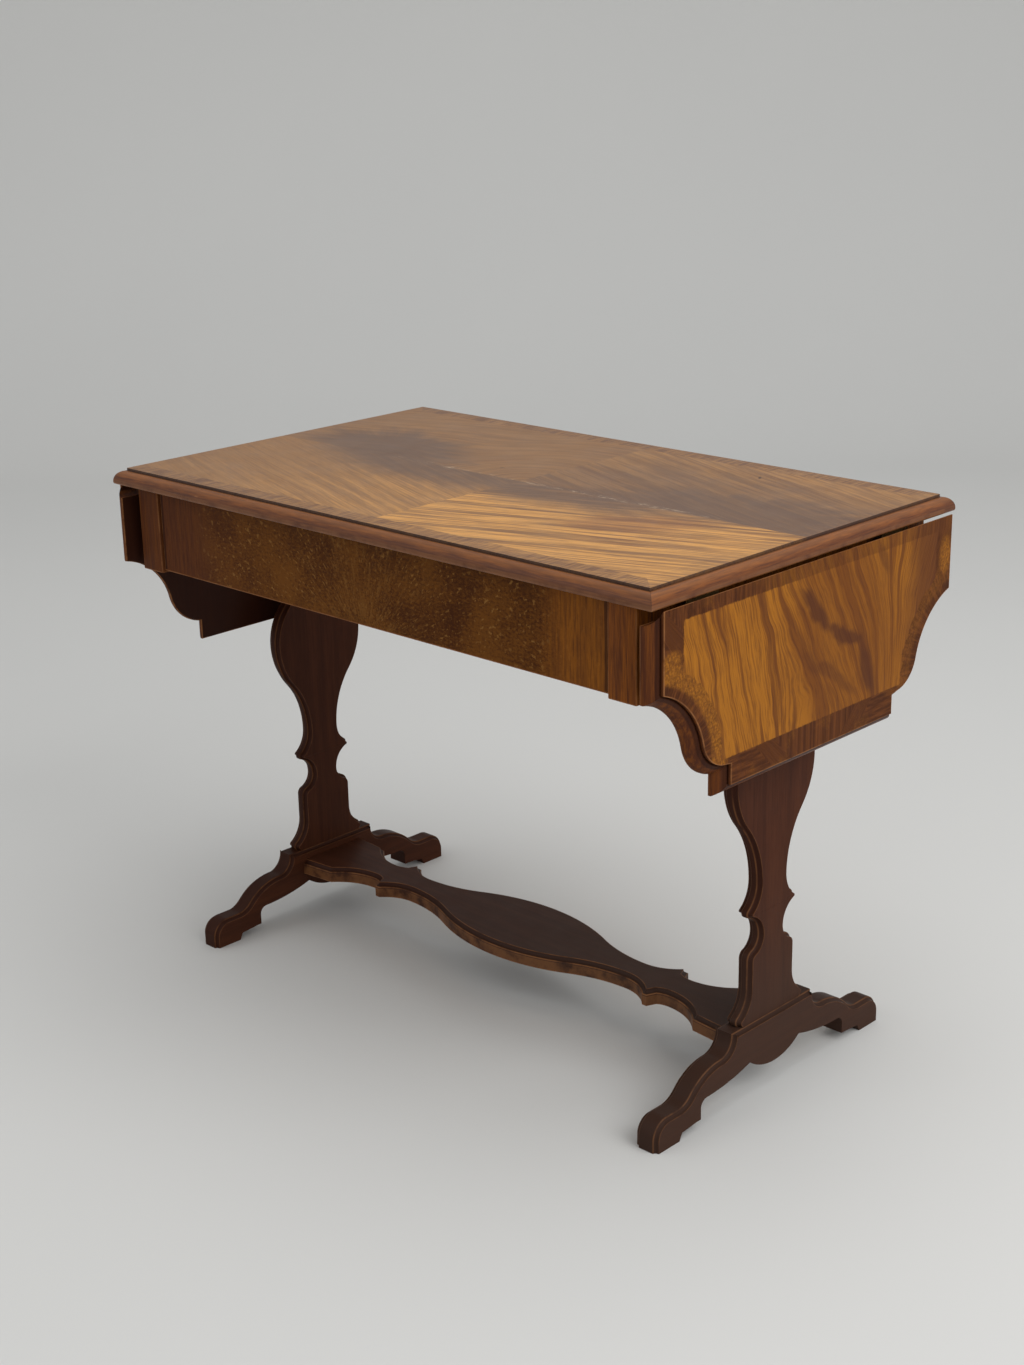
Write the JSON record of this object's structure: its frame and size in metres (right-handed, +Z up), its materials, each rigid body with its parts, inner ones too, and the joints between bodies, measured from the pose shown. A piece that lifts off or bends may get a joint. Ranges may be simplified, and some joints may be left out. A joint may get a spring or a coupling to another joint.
{
  "type": "drop-leaf coffee table",
  "caption": "Low drop-leaf table on vase-shaped trestle ends with sled feet, a shaped stretcher and a frieze drawer; scalloped end leaves swing up on hinges.",
  "frame": {"origin": "on the floor under the middle of the top", "axes": "+X along the table from leaf to leaf, -Y towards the drawer front, +Z up"},
  "size_m": [0.784, 0.473, 0.582],
  "materials": {
    "top_veneer": "quarter-matched golden brown veneer, old french polish",
    "lipping": "red-brown solid moulding, polished, worn arrises",
    "leaf_veneer": "golden brown striped veneer with a darker crossband, polished",
    "frieze_veneer": "mottled brown veneer, polished",
    "post_wood": "brown solid wood, polished",
    "trestle_wood": "very dark red-brown stain, polished",
    "plain_wood": "bare secondary wood, aged",
    "prop_wood": "bare brown wood",
    "hinge_brass": "dull old brass",
    "steel": "dull steel"
  },
  "bodies": {
    "frame": {"top_panel": "top_veneer", "top_lipping_front": "lipping", "top_lipping_rear": "lipping", "top_lipping_right": "lipping", "top_lipping_left": "lipping", "rear_frieze": "frieze_veneer", "end_rail_right": "frieze_veneer", "end_rail_left": "frieze_veneer", "post_front_right": "post_wood", "post_front_left": "post_wood", "post_rear_right": "post_wood", "post_rear_left": "post_wood", "splat_right": "trestle_wood", "splat_left": "trestle_wood", "foot_right": "trestle_wood", "foot_left": "trestle_wood", "stretcher": "trestle_wood", "stretcher_dowels": "trestle_wood", "glue_blocks": "plain_wood", "drawer_runner_right": "plain_wood", "drawer_runner_left": "plain_wood", "drawer_stops": "plain_wood", "prop_lugs_right": "prop_wood", "prop_lugs_left": "prop_wood", "hinge_fixed_plates_right": "hinge_brass", "hinge_fixed_plates_left": "hinge_brass", "hinge_pins_right": "steel", "hinge_pins_left": "steel", "hinge_fixed_screws_right": "steel", "hinge_fixed_screws_left": "steel", "splat_screws_right": "steel", "splat_screws_left": "steel", "prop_pin_right": "steel", "prop_pin_left": "steel"},
    "right_leaf": {"leaf_right": "leaf_veneer", "hinge_leaf_plates_right": "hinge_brass", "hinge_leaf_screws_right": "steel"},
    "left_leaf": {"leaf_left": "leaf_veneer", "hinge_leaf_plates_left": "hinge_brass", "hinge_leaf_screws_left": "steel"},
    "right_prop": {"prop_right": "prop_wood"},
    "left_prop": {"prop_left": "prop_wood"},
    "drawer": {"drawer_front": "frieze_veneer", "drawer_side_right": "plain_wood", "drawer_side_left": "plain_wood", "drawer_back": "plain_wood", "drawer_bottom": "plain_wood"}
  },
  "joints": [
    {"name": "right_leaf_hinge", "type": "hinge", "parent": "frame", "child": "right_leaf", "pos_m": [0.375, 0, 0.565], "axis": [0, -1, 0], "range_deg": [0, 90]},
    {"name": "right_prop_pivot", "type": "hinge", "parent": "frame", "child": "right_prop", "pos_m": [0.365, 0, 0.486], "axis": [0, -1, 0], "range_deg": [0, 135]},
    {"name": "left_leaf_hinge", "type": "hinge", "parent": "frame", "child": "left_leaf", "pos_m": [-0.375, 0, 0.565], "axis": [0, 1, 0], "range_deg": [0, 90]},
    {"name": "left_prop_pivot", "type": "hinge", "parent": "frame", "child": "left_prop", "pos_m": [-0.365, 0, 0.486], "axis": [0, 1, 0], "range_deg": [0, 135]},
    {"name": "drawer_slide", "type": "slide", "parent": "frame", "child": "drawer", "axis": [0, -1, 0], "range_m": [0, 0.25]}
  ],
  "couplings": [
    {"joint": "right_prop_pivot", "follows": "right_leaf_hinge", "ratio": 1.5},
    {"joint": "left_prop_pivot", "follows": "left_leaf_hinge", "ratio": 1.5}
  ]
}
